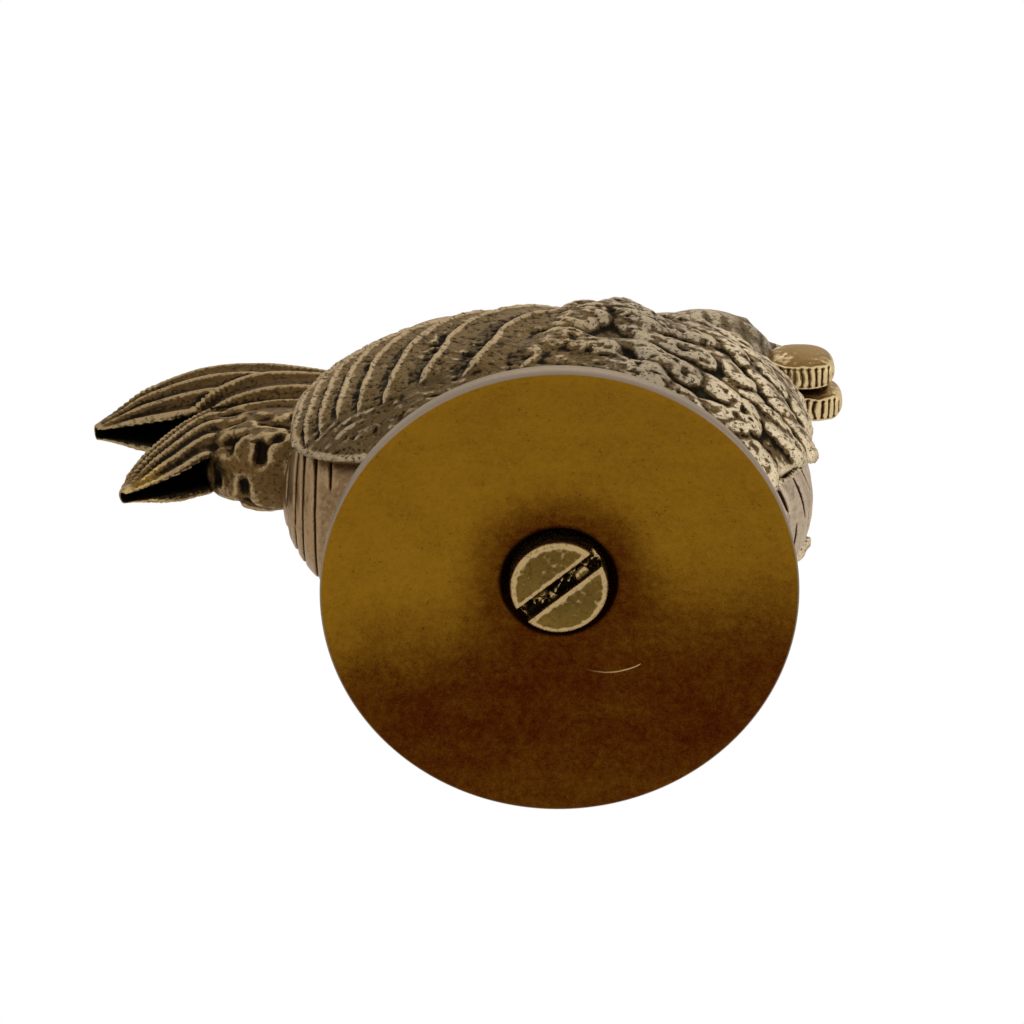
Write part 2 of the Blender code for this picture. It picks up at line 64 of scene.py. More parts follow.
BODY_FRONT, BODY_BACK, BODY_HALF_WIDTH = 27.8, 29.6, 15.8
BELLY_MIDDLE, BELLY_DEPTH, BACK_HEIGHT, BREAST_HEIGHT, BREAST_FORWARD = 29.0, 23.0, 20.0, 29.0, 1.3
BELLY_FULLNESS, BACK_FULLNESS, BREAST_FULLNESS, BREAST_BLEND = 2.5, 2.8, 2.85, 0.6
SEAT, FLOOR, WALL, MOUTH_PLACE = 8.1, 11.3, 2.2, -10.5


def rise(low, high, value):
    """Smooth rise from 0 at low to 1 at high."""
    share = np.clip((np.asarray(value, float) - low) / (high - low), 0.0, 1.0)
    return share * share * (3.0 - 2.0 * share)


def hill(middle, reach, value):
    """Smooth hill of height 1 round a middle value."""
    return np.exp(-((np.asarray(value, float) - middle) / reach) ** 2)


def egg(ways, growth=0.0, floor=-1e9):
    """Points of the egg in these directions, moved out by growth and kept above a floor."""
    x, y, z = ways.T
    ahead = rise(0.0, BREAST_BLEND, x)
    upper = z > 0
    height = np.where(upper, BACK_HEIGHT + (BREAST_HEIGHT - BACK_HEIGHT) * ahead, BELLY_DEPTH) + growth
    fullness = np.where(upper, BACK_FULLNESS + (BREAST_FULLNESS - BACK_FULLNESS) * ahead,
                        BELLY_FULLNESS)
    length = np.where(x > 0, BODY_FRONT, BODY_BACK) + growth
    spread = np.maximum(np.hypot(x, y), 1e-6) ** (2.0 / fullness - 1.0)
    forward = BREAST_FORWARD * np.maximum(x, 0.0) * rise(0.0, BREAST_BLEND, z)
    lift = np.copysign(np.abs(z) ** (2.0 / fullness), z)
    return np.stack([length * x * spread + forward, (BODY_HALF_WIDTH + growth) * y * spread,
                     np.maximum(BELLY_MIDDLE + height * lift, floor)], axis=1)


def over_egg(turn, level, growth):
    """Points over the egg at turns from the front towards the right side, and levels, in degrees."""
    turn, level = np.radians(turn), np.radians(level)
    return egg(np.stack([np.cos(level) * np.cos(turn), -np.cos(level) * np.sin(turn),
                         np.sin(level)], axis=1), growth)


def turn_and_level(points, growth):
    """The turn, towards the right side, and the level in degrees of points near the egg."""
    x, y, z = points.T
    length = np.where(x > 0, BODY_FRONT, BODY_BACK) + growth
    turn = np.degrees(np.arctan2(-y / (BODY_HALF_WIDTH + growth), x / length))
    upper = z > BELLY_MIDDLE
    ahead = rise(-0.1, BREAST_BLEND, x / length)
    height = np.where(upper, BACK_HEIGHT + (BREAST_HEIGHT - BACK_HEIGHT) * ahead, BELLY_DEPTH) + growth
    fullness = np.where(upper, BACK_FULLNESS, BELLY_FULLNESS)
    lift = np.clip(np.abs(z - BELLY_MIDDLE) / height, 0.0, 1.0) ** (fullness / 2.0)
    return turn, np.degrees(np.arcsin(lift)) * np.where(upper, 1.0, -1.0)


# Random relief, the same on each run

def scatter(cell):
    """Even random number from 0 to 1 for each whole-numbered cell."""
    cell = cell.astype(np.int64)
    mixed = cell[:, 0] * 73856093 ^ cell[:, 1] * 19349663 ^ cell[:, 2] * 83492791
    mixed = (mixed ^ (mixed >> 13)) * 1274126177 & 0x7FFFFFFF
    return (mixed ^ (mixed >> 16)) % 100003 / 100003.0


def grain(points, size, seed=0):
    """Smooth random field from 0 to 1 whose lumps are about this big."""
    place = points / size + seed * 17.3
    base = np.floor(place)
    share = place - base
    share = share * share * (3.0 - 2.0 * share)
    total = np.zeros(len(points))
    for corner in range(8):
        step = np.array([corner & 1, corner >> 1 & 1, corner >> 2 & 1])
        weight = np.prod(np.where(step, share, 1.0 - share), axis=1)
        total += weight * scatter(base + step)
    return total


def rough_grain(points, size, seed=0):
    """Random field of three sizes at once."""
    return (grain(points, size, seed) + 0.5 * grain(points, size / 2, seed + 1)
            + 0.25 * grain(points, size / 4, seed + 2)) / 1.75


def pits(points, size, share, seed=0):
    """Small round pits, 1 at their bottom, over about this share of the surface."""
    return rise(1.0 - share, 1.0 - share / 3, grain(points, size, seed))


# Making cast pieces

def ball_form(turns, levels, place):
    """Round form whose points are moved by place(directions)."""
    form = bmesh.new()
    bmesh.ops.create_uvsphere(form, u_segments=turns, v_segments=levels, radius=1.0)
    return placed(form, place)


def plate_form(along, across, place):
    """Plate whose points are moved by place(u, v, outer)."""
    form = bmesh.new()
    bmesh.ops.create_grid(form, x_segments=along, y_segments=across, size=0.5)
    lifted = bmesh.ops.extrude_face_region(form, geom=list(form.faces), use_keep_orig=True)
    top = [item for item in lifted["geom"] if isinstance(item, bmesh.types.BMVert)]
    bmesh.ops.translate(form, verts=top, vec=(0.0, 0.0, 1.0))
    return placed(form, lambda spots: place(spots[:, 0] + 0.5, spots[:, 1] + 0.5, spots[:, 2] > 0.5))


def turned_form(profile, steps):
    """Outline of (radius, height) points spun round the foot's axis."""
    form = bmesh.new()
    corners = [form.verts.new((radius, 0.0, height)) for radius, height in profile]
    ring = [form.edges.new(pair) for pair in zip(corners, corners[1:])]
    if profile[0][0] > 0.0:
        ring.append(form.edges.new((corners[-1], corners[0])))
    bmesh.ops.spin(form, geom=corners + ring, cent=(0, 0, 0), axis=(0, 0, 1), angle=math.tau,
                   steps=steps, use_merge=True)
    bmesh.ops.remove_doubles(form, verts=form.verts, dist=0.001)
    return facing_out(form)


def placed(form, place):
    """Move a form's points to place(points)."""
    spots = np.array([corner.co[:] for corner in form.verts])
    for corner, spot in zip(form.verts, place(spots)):
        corner.co = spot
    return facing_out(form)


def facing_out(form):
    """Turn a closed form's faces outwards."""
    bmesh.ops.recalc_face_normals(form, faces=form.faces)
    if form.calc_volume(signed=True) < 0:
        bmesh.ops.reverse_faces(form, faces=form.faces)
    return form


def joined(name, *forms):
    """One object holding these forms, in millimetres."""
    whole = bpy.data.meshes.new(name)
    gathered = bmesh.new()
    for form in forms:
        part = bpy.data.meshes.new(name + " part")
        form.to_mesh(part)
        form.free()
        gathered.from_mesh(part)
        bpy.data.meshes.remove(part)
    gathered.to_mesh(whole)
    gathered.free()
    made = bpy.data.objects.new(name, whole)
    bpy.context.collection.objects.link(made)
    return made


def settled(made):
    """Apply an object's modifiers to its mesh."""
    bpy.context.view_layer.update()
    result = bpy.data.meshes.new_from_object(made.evaluated_get(bpy.context.evaluated_depsgraph_get()))
    made.modifiers.clear()
    made.data = result
    return made


def cut(made, tool, operation="DIFFERENCE"):
    """Take a tool's shape out of a piece, or add it."""
    step = made.modifiers.new("cut", "BOOLEAN")
    step.object = tool
    step.operation = operation
    step.solver = "EXACT"
    settled(made)
    bpy.data.objects.remove(tool)
    return made


def cast(made, spacing, rounds=1):
    """One closed even skin over all of an object's forms, softened as a sand casting is."""
    skin = made.modifiers.new("skin", "REMESH")
    skin.mode = "VOXEL"
    skin.voxel_size = spacing
    soft = made.modifiers.new("soft", "SMOOTH")
    soft.iterations = rounds
    soft.factor = 0.5
    return settled(made)


class Skin:
    """Points, facings and neighbours of a finished skin, for carving it."""

    def __init__(self, made):
        self.mesh = made.data
        self.count = len(self.mesh.vertices)
        flat = np.zeros(self.count * 3)
        self.mesh.vertices.foreach_get("co", flat)
        self.points = flat.reshape(-1, 3)
        pairs = np.zeros(len(self.mesh.edges) * 2, np.int64)
        self.mesh.edges.foreach_get("vertices", pairs)
        self.pairs = pairs.reshape(-1, 2)
        self.degree = np.maximum(np.bincount(self.pairs.ravel(), minlength=self.count), 1)
        self.normals = self.facings()

    def facings(self):
        flat = np.zeros(self.count * 3)
        self.mesh.vertex_normals.foreach_get("vector", flat)
        return flat.reshape(-1, 3)

    def evened(self, values, rounds):
        """Average values with their neighbours' several times."""
        a, b = self.pairs.T
        for _ in range(rounds):
            columns = []
            for column in values.reshape(self.count, -1).T:
                total = np.bincount(a, column[b], self.count) + np.bincount(b, column[a], self.count)
                columns.append(0.5 * column + 0.5 * total / self.degree)
            values = np.stack(columns, axis=1).reshape(values.shape)
        return values

    def open_side(self):
        """1 where the skin faces away from the egg's middle, 0 on edges and on its inner side."""
        lifts = (self.points - np.array([0.0, 0.0, BELLY_MIDDLE])) / np.array([28.7, 15.8, 25.0]) ** 2
        lifts /= np.linalg.norm(lifts, axis=1)[:, None]
        return rise(0.1, 0.65, np.einsum("ij,ij->i", self.normals, lifts))

    def carve(self, height):
        """Move the points along their facings by a height in millimetres."""
        self.points = self.points + self.normals * height[:, None]
        self.mesh.vertices.foreach_set("co", self.points.ravel())
        self.mesh.update()
        self.normals = self.facings()

    def note(self, name, values):
        """Keep a value for each point, for the materials."""
        noted = self.mesh.attributes.new(name, "FLOAT", "POINT")
        noted.data.foreach_set("value", np.clip(values, 0.0, 1.0).astype(np.float32))

    def note_crest_wear_and_light(self, reach=0.14, rounds=(4, 20)):
        """Note how far each point stands out of its surroundings: 1 on crests, 0 in grooves; the brass colours
        make crests pale as wear with painted highlight, and grooves dark as painted shade.
        """
        standing = np.zeros(self.count)
        finer = QUICK_FINE / FINE
        for count in rounds:
            away = self.points - self.evened(self.points, round(count * finer))
            standing += np.einsum("ij,ij->i", away, self.normals) / len(rounds)
        self.note("crest_wear_and_light", 0.5 + 0.5 * np.tanh(standing * finer / reach))


def form_of(made):
    """Take an object back to a form, so that more can be joined to it."""
    form = bmesh.new()
    form.from_mesh(made.data)
    bpy.data.objects.remove(made)
    return form


def thinned(made, share):
    """Keep this share of a piece's faces, the fewest where it is smooth."""
    step = made.modifiers.new("thin", "DECIMATE")
    step.ratio = share
    return settled(made)


def finish_piece(made, material, slot, *nodes):
    """Take a piece to metres in the solids' frame, give it its material and let it stand for its nodes."""
    made.data.transform(Matrix.Translation((foot_axis, 0.0, 0.0)) @ Matrix.Scale(MM, 4))
    made.data.update()
    made.data.materials.clear()
    made.data.materials.append(material)
    made.data.shade_smooth()
    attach(made, "root")
    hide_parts(*nodes)
    return made


# Materials

# How much of its own colour old brass keeps where it is seen aslant
EDGE_TINT = (0.84, 0.76, 0.66)


class Value:
    """A shader socket that Python's arithmetic works on."""

    def __init__(self, nodes, socket):
        self.nodes, self.socket = nodes, socket

    def _with(self, operation, other, swapped=False):
        step = self.nodes.add("ShaderNodeMath", operation=operation)
        first, second = (other, self) if swapped else (self, other)
        self.nodes.feed(step.inputs[0], first)
        self.nodes.feed(step.inputs[1], second)
        return Value(self.nodes, step.outputs[0])

    def __add__(self, other):
        return self._with("ADD", other)

    def __radd__(self, other):
        return self._with("ADD", other, True)

    def __sub__(self, other):
        return self._with("SUBTRACT", other)

    def __rsub__(self, other):
        return self._with("SUBTRACT", other, True)

    def __mul__(self, other):
        return self._with("MULTIPLY", other)

    def __rmul__(self, other):
        return self._with("MULTIPLY", other, True)


class Nodes:
    """The nodes of a material or of the world."""

    def __init__(self, home):
        home.use_nodes = True
        self.tree = home.node_tree

    def feed(self, socket, value):
        """Link a value to a socket, or set it there."""
        if isinstance(value, Value):
            self.tree.links.new(value.socket, socket)
        elif value is not None:
            socket.default_value = value

    def add(self, kind, inputs=None, **settings):
        """Add a node with its settings and the values or links of its sockets."""
        node = self.tree.nodes.new(kind)
        for key, value in settings.items():
            setattr(node, key, value)
        for key, value in (inputs or {}).items():
            self.feed(node.inputs[key], value)
        return node


class Finish(Nodes):
    """One material's nodes."""

    def __init__(self, name):
        self.material = bpy.data.materials.new(name)
        super().__init__(self.material)
        self.shader = self.tree.nodes["Principled BSDF"]
        self.place = Value(self, self.add("ShaderNodeTexCoord").outputs["Object"])
        self.shader.inputs["Specular Tint"].default_value = (*EDGE_TINT, 1.0)

    def noise(self, scale, detail=4.0, roughness=0.6, place=None):
        """Noise of so many lumps per metre."""
        node = self.add("ShaderNodeTexNoise", {"Vector": place or self.place, "Scale": scale,
                                               "Detail": detail, "Roughness": roughness})
        return Value(self, node.outputs["Factor" if "Factor" in node.outputs else 0])

    def stretched(self, scale):
        """The place, stretched by a scale for each axis."""
        node = self.add("ShaderNodeMapping", {"Vector": self.place, "Scale": scale})
        return Value(self, node.outputs[0])

    def between(self, value, low, high):
        """Smooth rise from 0 at low to 1 at high."""
        node = self.add("ShaderNodeMapRange", {"Value": value, "From Min": low, "From Max": high},
                        interpolation_type="SMOOTHSTEP")
        return Value(self, node.outputs["Result"])

    def mixed(self, share, first, second):
        """Colour between two colours."""
        node = self.add("ShaderNodeMix", data_type="RGBA")
        self.feed(node.inputs[0], share)
        for socket, value in ((node.inputs[6], first), (node.inputs[7], second)):
            self.feed(socket, (*value, 1.0) if isinstance(value, tuple) else value)
        return Value(self, node.outputs[2])

    def noted(self, name):
        """A value kept for each point."""
        return Value(self, self.add("ShaderNodeAttribute", attribute_name=name).outputs["Fac"])

    def hollow(self, reach):
        """1 in hollows narrower than a reach in metres, 0 in the open."""
        node = self.add("ShaderNodeAmbientOcclusion", {"Distance": reach}, samples=8, only_local=True)
        return 1.0 - Value(self, node.outputs["AO"])

    def bumps(self, height, distance, strength):
        """Bump from a height field; distance is in metres."""
        node = self.add("ShaderNodeBump", {"Height": height, "Distance": distance, "Strength": strength})
        return Value(self, node.outputs["Normal"])

    def done(self, colour, roughness, metallic, normal):
        self.feed(self.shader.inputs["Base Color"], colour)
        self.feed(self.shader.inputs["Roughness"], roughness)
        self.feed(self.shader.inputs["Metallic"], metallic)
        self.feed(self.shader.inputs["Normal"], normal)
        return self.material


DARK = (0.010, 0.006, 0.003)
SHOULDER_PALE, SHOULDER_BROWN = (0.32, 0.255, 0.17), (0.098, 0.064, 0.028)


def cast_brass(name, pale, brown, dark, hollow_reach=0.0022, smooth=0.0, grooves=None, worn=0.5,
               other=None, groove_dirt_and_shade=0.85):
    """Old cast brass: pale on crests where hands wore it, with painted highlight there, brown between, nearly
    black in grooves and hollows as painted shade with dirt.
    """
    finish = Finish(name)
    crest_wear_and_light = finish.noted("crest_wear_and_light")
    if other:
        place, other_pale, other_brown = other
        pale = finish.mixed(finish.noted(place), pale, other_pale)
        brown = finish.mixed(finish.noted(place), brown, other_brown)
    cloud = finish.noise(190.0, 5.0, 0.62)
    fine = finish.noise(1500.0, 4.0, 0.65)
    speckle = finish.noise(5200.0, 2.0, 0.6)
    # Ambient occlusion darkens the colour in hollows: painted shade.
    hollow = finish.hollow(hollow_reach)
    spots = finish.noise(2100.0, 3.0, 0.7)
    # Dirt and painted shade: dark in occluded hollows and low places, with random dirt spots.
    dirt_and_shade = finish.between(hollow * 1.15 + (0.5 - crest_wear_and_light) * 1.25 + (fine - 0.5) * 0.8, 0.20, 0.62)
    dirt_and_shade = dirt_and_shade + finish.between(spots, 0.51, 0.63) * (0.75 * (1.0 - smooth))
    # Pale on crests past the worn threshold: wear, with painted highlight.
    wear_and_highlight = finish.between(crest_wear_and_light + (cloud - 0.5) * 0.6 + (fine - 0.5) * 0.6 - hollow * 0.5,
                           worn, worn + 0.26)
    if grooves:
        # Noted grooves and inner walls darken further: painted shade in the wings' troughs and the tail's inner
        # walls, dark lines in the body's strokes and the lobes' flutes.
        dirt_and_shade = dirt_and_shade + finish.between(finish.noted(grooves), 0.25, 0.6) * groove_dirt_and_shade
    dirt_and_shade = finish.between(dirt_and_shade, 0.0, 1.0)
    tint = finish.mixed(finish.between(cloud, 0.35, 0.65) * 0.35, brown, (0.0, 0.0, 0.0))
    colour = finish.mixed(wear_and_highlight, tint, pale)
    colour = finish.mixed(dirt_and_shade, colour, dark)
    green = finish.between(finish.noise(320.0, 3.0), 0.60, 0.72)
    colour = finish.mixed(green * finish.between(dirt_and_shade, 0.2, 0.6) * 0.35, colour, (0.055, 0.060, 0.030))
    roughness = 0.40 + dirt_and_shade * 0.30 - wear_and_highlight * 0.10 + (fine - 0.5) * 0.18
    normal = finish.bumps(fine * 0.6 + speckle * 0.4, 0.00022 * (1.0 - smooth), 0.8)
    return finish.done(colour, roughness, 1.0 - dirt_and_shade * 0.1, normal)


def scratch(finish, spot):
    """1 on the one bent scratch across the foot's underside."""
    split = finish.add("ShaderNodeSeparateXYZ", {0: spot})
    along = Value(finish, split.outputs["X"]) * 1000.0 - 5.7
    across = Value(finish, split.outputs["Y"]) * 1000.0 - 9.86 + along * 0.14 + along * along * 0.08
    across = across + (finish.noise(900.0, 2.0) - 0.5) * 0.25
    line = 1.0 - finish.between(across * across, 0.001, 0.006)
    return line * finish.between(along, -3.4, 1.2) * (1.0 - finish.between(along, 2.5, 2.8))


def turned_brass(name, light, deep, radius):
    """Turned brass gone golden brown: soft clouds and fine dark specks, with painted shade darker towards the
    middle and across one side, and a painted lit rim.
    """
    finish = Finish(name)
    flat = finish.add("ShaderNodeVectorMath", {0: finish.place, 1: (foot_axis, 0.0, 0.0)},
                      operation="SUBTRACT")
    flat = finish.add("ShaderNodeVectorMath", {0: Value(finish, flat.outputs[0]), 1: (1.0, 1.0, 0.0)},
                      operation="MULTIPLY")
    away = Value(finish, finish.add("ShaderNodeVectorMath", {0: Value(finish, flat.outputs[0])},
                                    operation="LENGTH").outputs["Value"])
    cloud = finish.noise(95.0, 4.0, 0.6)
    blotch = finish.noise(420.0, 4.0, 0.65)
    speck = finish.noise(2600.0, 3.0, 0.7)
    brush = finish.noise(260.0, 3.0, 0.55, finish.stretched((0.12, 1.6, 1.0)))
    # Painted shade: darker towards the middle of the dish.
    middle = 1.0 - finish.between(away, radius * 0.25, radius * 0.50)
    aslant = finish.add("ShaderNodeVectorMath", {0: Value(finish, flat.outputs[0]), 1: (0.15, 1.0, 0.0)},
                        operation="DOT_PRODUCT")
    aslant = Value(finish, aslant.outputs["Value"])
    # Painted shade: darker across one side of the dish.
    one_side_shade = finish.between(aslant, -0.004, radius * 0.48) - finish.between(aslant, radius * 0.7, radius) * 0.15
    # Painted light: the rim's side wall paler.
    lit_rim = finish.between(away, radius * 0.991, radius * 0.997)
    mottle = finish.noise(1500.0, 5.0, 0.75)
    dots = finish.noise(5200.0, 2.0, 0.6)
    age_and_shade = 1.0 - (1.0 - middle * 0.80) * (1.0 - one_side_shade * 0.95)
    age_and_shade = age_and_shade * 0.9 + 0.09 + (cloud - 0.5) * 0.45 + (blotch - 0.5) * 0.35 + (brush - 0.5) * 0.25
    age_and_shade = finish.between(age_and_shade + (mottle - 0.5) * 0.75 + (dots - 0.5) * 0.45, -0.25, 1.25)
    colour = finish.mixed(age_and_shade, light, deep)
    specks = finish.between(speck + (blotch - 0.5) * 0.3, 0.60, 0.74)
    colour = finish.mixed(specks * 0.45, colour, DARK)
    colour = finish.mixed(scratch(finish, Value(finish, flat.outputs[0])), colour, (0.42, 0.30, 0.13))
    colour = finish.mixed(lit_rim, colour, (0.23, 0.18, 0.135))
    roughness = 0.40 + age_and_shade * 0.14 + (speck - 0.5) * 0.2
    normal = finish.bumps(brush * 0.5 + speck * 0.3 + blotch * 0.6, 0.00012, 0.6)
    return finish.done(colour, roughness, 1.0, normal)


# Camera where the photograph was taken from, 300 mm below the foot and to the bird's right

def camera():
    tilt = math.radians(23.0)
    distance, left, up = 300.0, 4.75, 8.68
    ahead = Vector((0.0, math.sin(tilt), math.cos(tilt)))
    down = Vector((0.0, math.cos(tilt), -math.sin(tilt)))
    right = Vector((1.0, 0.0, 0.0))
    place = -distance * ahead - left * right - up * down
    data = bpy.data.cameras.new("camera")
    data.lens = data.sensor_width * 3000.0 / 1024.0
    data.clip_start, data.clip_end = 0.01, 10.0
    made = bpy.data.objects.new("camera", data)
    made.matrix_world = Matrix((
        (right.x, -down.x, -ahead.x, place.x * MM + foot_axis),
        (right.y, -down.y, -ahead.y, place.y * MM),
        (right.z, -down.z, -ahead.z, place.z * MM),
        (0.0, 0.0, 0.0, 1.0)))
    bpy.context.collection.objects.link(made)
    bpy.context.scene.camera = made


# How far the floor lies below the foot, in metres
FLOOR_GAP = 0.0002

# How strongly the white surroundings light the bird, beside 1 for what is seen of them
WORLD_LEVEL = 0.6

# Name, direction from the bird, distance, size and power of each soft lamp
LAMPS = (("left lamp", (-0.9, -0.5, -0.25), 0.6, 0.35, 0.12),
         ("right lamp", (1.0, -0.45, 0.05), 0.55, 0.30, 0.20),
         ("top lamp", (0.1, -0.5, 1.0), 0.7, 0.5, 0.5),
         ("far lamp", (0.2, 1.0, 0.3), 0.7, 0.4, 0.25))


def soft_lamp(name, way, distance, size, power):
    """Square soft lamp in a direction from the bird, aimed at it."""
    data = bpy.data.lights.new(name, "AREA")
    data.size = size
    data.energy = power
    made = bpy.data.objects.new(name, data)
    middle = Vector((foot_axis, 0.0, 0.03))
    way = Vector(way).normalized()
    made.location = middle + way * distance
    made.rotation_euler = way.to_track_quat("Z", "Y").to_euler()
    bpy.context.collection.objects.link(made)


def studio():
    """White surroundings, soft lamps, and a pale floor seen from above."""
    world = bpy.data.worlds.new("studio")
    bpy.context.scene.world = world
    sky = Nodes(world)
    rays = sky.add("ShaderNodeLightPath")
    seen = Value(sky, rays.outputs["Is Camera Ray"])
    for name in ("Is Glossy Ray", "Is Transmission Ray"):
        ray = Value(sky, rays.outputs[name])
        seen = Value(sky, sky.add("ShaderNodeMath", {0: seen, 1: ray}, operation="MAXIMUM").outputs[0])
    background = sky.tree.nodes["Background"]
    sky.feed(background.inputs["Strength"], WORLD_LEVEL + (1.0 - WORLD_LEVEL) * seen)
    sky.feed(background.inputs["Color"], (1.0, 1.0, 1.0, 1.0))
    for lamp in LAMPS:
        soft_lamp(*lamp)

    sheet = bmesh.new()
    bmesh.ops.create_grid(sheet, x_segments=1, y_segments=1, size=1.5)
    floor_mesh = bpy.data.meshes.new("floor")
    sheet.to_mesh(floor_mesh)
    sheet.free()
    floor = bpy.data.objects.new("floor", floor_mesh)
    floor.location.z = -FLOOR_GAP
    bpy.context.collection.objects.link(floor)
    paint = Finish("floor paint")
    paint.feed(paint.shader.inputs["Base Color"], (0.86, 0.86, 0.85, 1.0))
    paint.feed(paint.shader.inputs["Roughness"], 0.9)
    below = Value(paint, paint.add("ShaderNodeNewGeometry").outputs["Backfacing"])
    looked_at = Value(paint, paint.add("ShaderNodeLightPath").outputs["Is Camera Ray"])
    clear = paint.add("ShaderNodeBsdfTransparent")
    both = paint.add("ShaderNodeMixShader")
    paint.feed(both.inputs[0], looked_at * (1.0 - below))
    paint.tree.links.new(clear.outputs[0], both.inputs[1])
    paint.tree.links.new(paint.shader.outputs[0], both.inputs[2])
    paint.tree.links.new(both.outputs[0], paint.tree.nodes["Material Output"].inputs["Surface"])
    floor_mesh.materials.append(paint.material)


camera()
studio()


# Pieces

WING_FRONT, WING_TIP = 71.0, 157.0
# The count of flight feathers passed at a turn and a level, as a curve through the photograph's ribs
RIB_START, RIB_PER_TURN, RIB_PER_LEVEL, RIB_BEND = 2.68, 0.147, -0.0489, -0.00112
# Feathers by the turns and levels that their midlines pass, each from its root to its worn end
COVERTS = (((100, -13), (96, -5), (91, -2), (86, -2), (82.5, -5.5)), ((94, 6), (88, 7), (82, 14)),
           ((92, 22), (82, 12)), ((97, 36), (85, 23)), ((84, 45), (74, 29)), ((88, -10), (80, -14), (71, -15)),
           ((94, -18), (80, -24)), ((87, -28), (75, -35)))
BREAST = (((78.5, 0), (73, -0.5), (68, -6), (63, -9)), ((77, 14), (72.5, 6.5), (69.5, 3), (64, 1.5), (59, 0)),
          ((72, 22), (66.5, 12), (60.5, 10), (57, 7)), ((61, -5.5), (46, -17)), ((55, 5), (47, -1)),
          ((48, -3), (36, -10)), ((57, -22), (44, -21.5)), ((45.5, -27.5), (31, -32.5)),
          ((42.5, -13), (28.5, -15)), ((71, -15), (63, -21), (59, -27)), ((62, -31), (50, -35)),
          ((42, 8), (32, 0)), ((30, 0), (21, -5)), ((30, 14), (20, 5)))
SHOULDER = ((82, 26), (76, 19), (71, 12))


def all_feathers():
    """Half width in millimetres and midline of each feather of the coverts, breast and neck."""
    feathers = [(3.6, SHOULDER)] + [(2.5, way) for way in COVERTS] + [(2.35, way) for way in BREAST]
    for row, level in enumerate((68.0, 52.0, 37.0, 23.0)):
        for turn in np.arange(7.0 + 7.0 * (row % 2), 68.0, 14.0):
            feathers.append((2.4, ((turn, level), (turn - 7.0, level - 15.0))))
    return feathers


def feather_lumps(points, side_turn, level):
    """Height share of overlapping feathers, and how near their ends each point lies."""
    sway = np.stack([grain(points, 5.0, 2), grain(points, 5.0, 3)], axis=1) - 0.5
    spots = over_egg(side_turn + 5.0 * sway[:, 0], level + 5.0 * sway[:, 1], 0.0)
    lump, ends = np.zeros(len(points)), np.zeros(len(points))
    for index, (half_width, way) in enumerate(all_feathers()):
        path = over_egg(*np.array(way, float).T, 0.0)
        own = math.sin(index * 12.9) * 0.5 + 0.5
        for step, (start, end) in enumerate(zip(path, path[1:])):
            axis = end - start
            part = np.clip((spots - start) @ axis / (axis @ axis), 0.0, 1.0)
            miss = np.linalg.norm(spots - start - part[:, None] * axis, axis=1)
            miss = miss / (half_width * (0.85 + 0.3 * own))
            share = (step + part) / (len(path) - 1)
            height = (0.40 + 0.14 * own + 0.46 * share) * np.sqrt(np.clip(1.0 - miss ** 2.6, 0.0, 1.0))
            ends = np.where(height > lump, share, ends)
            lump = np.maximum(lump, height)
    return lump, ends


def feather_coat(points, side_turn, level):
    """Relief in millimetres of the worn, pitted feathers that the cape and the wings' fronts share."""
    lump, ends = feather_lumps(points, side_turn, level)
    worn_ends = rise(0.35, 0.85, ends)
    pitted = 0.30 * pits(points, 0.75, 0.5, 6) + 0.16 * pits(points, 0.42, 0.55, 16)
    coat = 1.5 * lump - pitted * (0.35 + 0.65 * worn_ends) + 0.45 * (rough_grain(points, 2.4, 9) - 0.5)
    return coat * (0.72 + 0.28 * rise(30.0, 48.0, side_turn)), lump


def wing_levels(u):
    """Lowest and highest level of the wing at a share of the way to its tip."""
    return 5.5 - 54.0 * np.sqrt(1.0 - u ** 4.0), 10.5 + 38.0 * np.sqrt(1.0 - u ** 3.0)


def wing_plate(side):
    """Wing plate from the shoulder to its tip, a little sunk into the body."""
    def place(u, v, outer):
        low, high = wing_levels(u)
        turn = WING_FRONT - 1.5 + (WING_TIP - WING_FRONT + 1.5) * u
        level = low + (high - low) * v
        flush = 0.85 * rise(16.0, 2.0, level) * rise(0.55, 0.80, u) if side < 0 else 0.0
        spots = over_egg(turn, level, -0.4 + 1.6 * outer * (1.0 - flush))
        spots[:, 1] *= side
        return spots
    return plate_form(90, 70, place)


